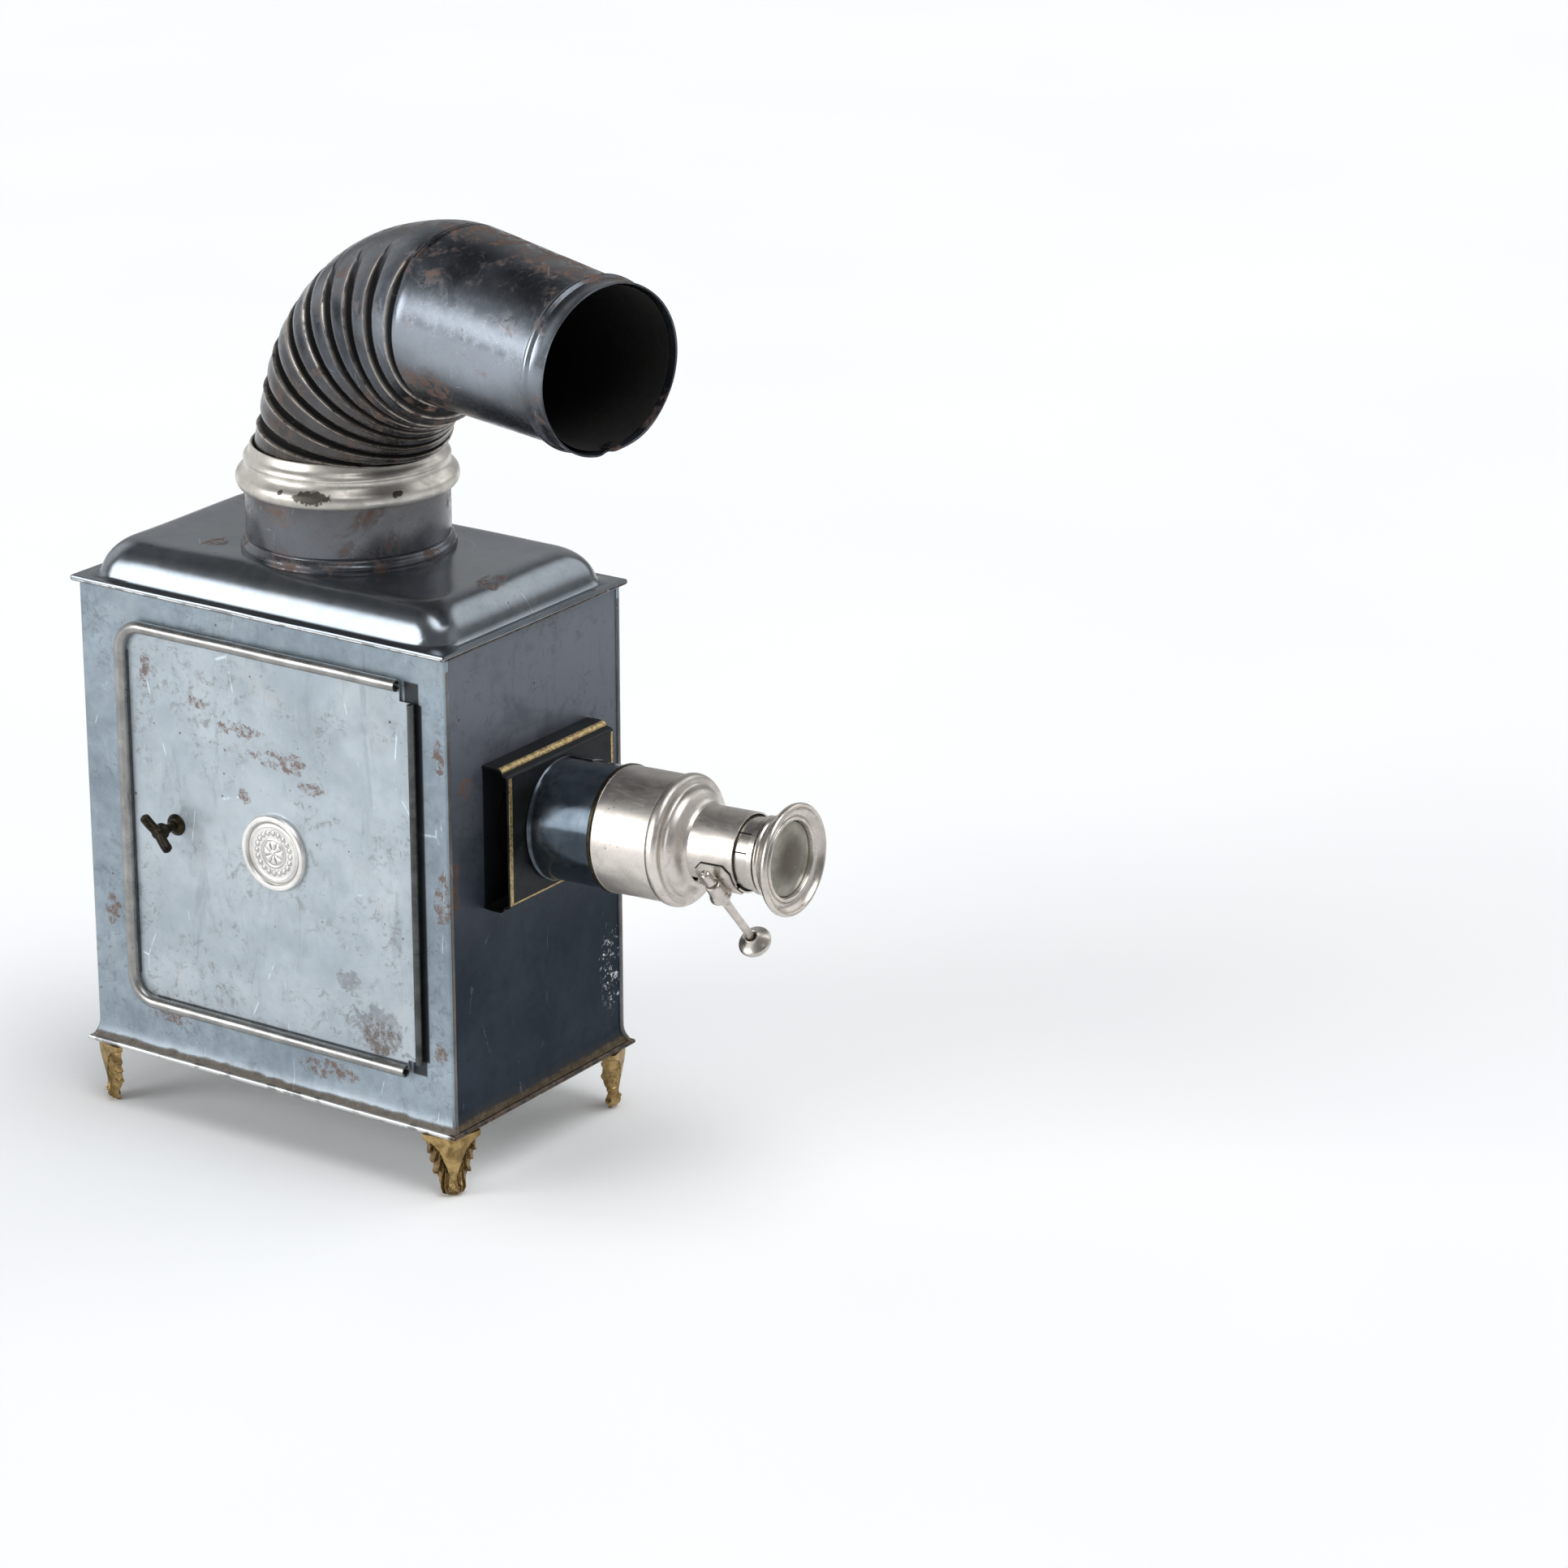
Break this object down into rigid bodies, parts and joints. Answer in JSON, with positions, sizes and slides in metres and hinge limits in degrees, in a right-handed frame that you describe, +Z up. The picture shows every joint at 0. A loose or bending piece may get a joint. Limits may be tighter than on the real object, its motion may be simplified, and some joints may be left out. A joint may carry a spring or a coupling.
{
  "type": "magic lantern",
  "caption": "Upright sheet-metal magic lantern with a hinged door, crimped elbow chimney, slide stage, focusing projection lens and paraffin lamp.",
  "frame": {"origin": "centre of the bounding box at the level of the feet's soles", "axes": "+X is the direction of projection, the hinged door is on the -Y side, +Z is up"},
  "size_m": [0.3006, 0.1316, 0.3747],
  "materials": {
    "blued_sheet": "blued and worn",
    "flue_iron": "dark glossy, rust spotted",
    "nickel": "tarnished nickel plate",
    "brass": "dull pressed brass",
    "dark_brass": "brown patina",
    "stage_paint": "blued with gold lining",
    "inner_iron": "sooted black",
    "tinplate": "tinned",
    "lens_glass": "polished",
    "glass_clear": "clear",
    "wick_cotton": "woven cotton"
  },
  "bodies": {
    "house": {"side_wrap": "blued_sheet", "front_panel": "blued_sheet", "base_plate": "blued_sheet", "top_plate": "flue_iron", "chimney_pipe": "flue_iron", "slide_stage": "stage_paint", "slide_springs": "tinplate", "lens_collar": "flue_iron", "condenser_cell": "inner_iron", "condenser_lens_front": "lens_glass", "condenser_lens_rear": "lens_glass", "condenser_ring": "dark_brass", "hinge_leaf": "blued_sheet", "hinge_pin": "tinplate", "lamp_guides": "inner_iron", "lamp_tank": "tinplate", "filler_cap": "brass", "burner_collar": "brass", "burner_body": "brass", "wick_tube": "brass", "lamp_glass": "glass_clear", "reflector": "tinplate", "reflector_bracket": "inner_iron", "foot_front_near": "brass", "foot_front_far": "brass", "foot_rear_near": "brass", "foot_rear_far": "brass"},
    "door": {"door_panel": "blued_sheet", "medallion": "nickel", "latch_washer": "dark_brass"},
    "latch": {"wing_key": "dark_brass", "latch_tongue": "tinplate", "latch_nut": "dark_brass"},
    "barrel": {"barrel_tube": "nickel", "barrel_shoulder": "nickel", "barrel_nose": "nickel", "pinion_housing": "nickel"},
    "lens": {"lens_tube": "nickel", "rear_lens": "lens_glass", "rear_lens_ring": "dark_brass", "front_bezel": "nickel", "front_lens": "lens_glass", "front_lens_ring": "dark_brass", "focus_rack": "brass"},
    "pinion": {"focus_pinion": "brass", "focus_shaft": "nickel", "focus_knob": "nickel"},
    "flue_collar": {"chimney_collar": "nickel"},
    "flue": {"chimney_elbow": "flue_iron", "chimney_outlet": "flue_iron"},
    "winder": {"wick_wheel": "brass", "winder_shaft": "brass", "winder_knob": "brass"},
    "wick": {"wick": "wick_cotton"}
  },
  "joints": [
    {"name": "door_hinge", "type": "hinge", "parent": "house", "child": "door", "pos_m": [0.01696, -0.05225, 0.127], "axis": [0, 0, 1], "range_deg": [0, 160]},
    {"name": "latch_turn", "type": "hinge", "parent": "door", "child": "latch", "pos_m": [-0.10104, -0.0511, 0.1275], "axis": [0, 1, 0], "range_deg": [0, 90]},
    {"name": "barrel_slide", "type": "slide", "parent": "house", "child": "barrel", "axis": [0.9991, 0.0244, 0.0349], "range_m": [-0.014, 0.008]},
    {"name": "lens_slide", "type": "slide", "parent": "barrel", "child": "lens", "axis": [0.9991, 0.0244, 0.0349], "range_m": [-0.0025, 0.007]},
    {"name": "focus_turn", "type": "hinge", "parent": "barrel", "child": "pinion", "pos_m": [0.12363, -0.00549, 0.13352], "axis": [0.0105, 0.6525, -0.7577], "range_deg": [-58, 161]},
    {"name": "chimney_lift", "type": "slide", "parent": "house", "child": "flue_collar", "axis": [0, 0, 1], "range_m": [0, 0.02]},
    {"name": "elbow_swivel", "type": "hinge", "parent": "flue_collar", "child": "flue", "pos_m": [-0.05684, 0.0062, 0.262], "axis": [0, 0, 1], "continuous": true},
    {"name": "wick_winder", "type": "hinge", "parent": "house", "child": "winder", "pos_m": [-0.06514, -0.0138, 0.0803], "axis": [0, 1, 0], "range_deg": [-30, 90]},
    {"name": "wick_slide", "type": "slide", "parent": "house", "child": "wick", "axis": [0, 0, 1], "range_m": [-0.0016, 0.0048]}
  ],
  "couplings": [
    {"joint": "focus_turn", "follows": "lens_slide", "rad_per_m": 400},
    {"joint": "wick_winder", "follows": "wick_slide", "rad_per_m": 322.6}
  ]
}
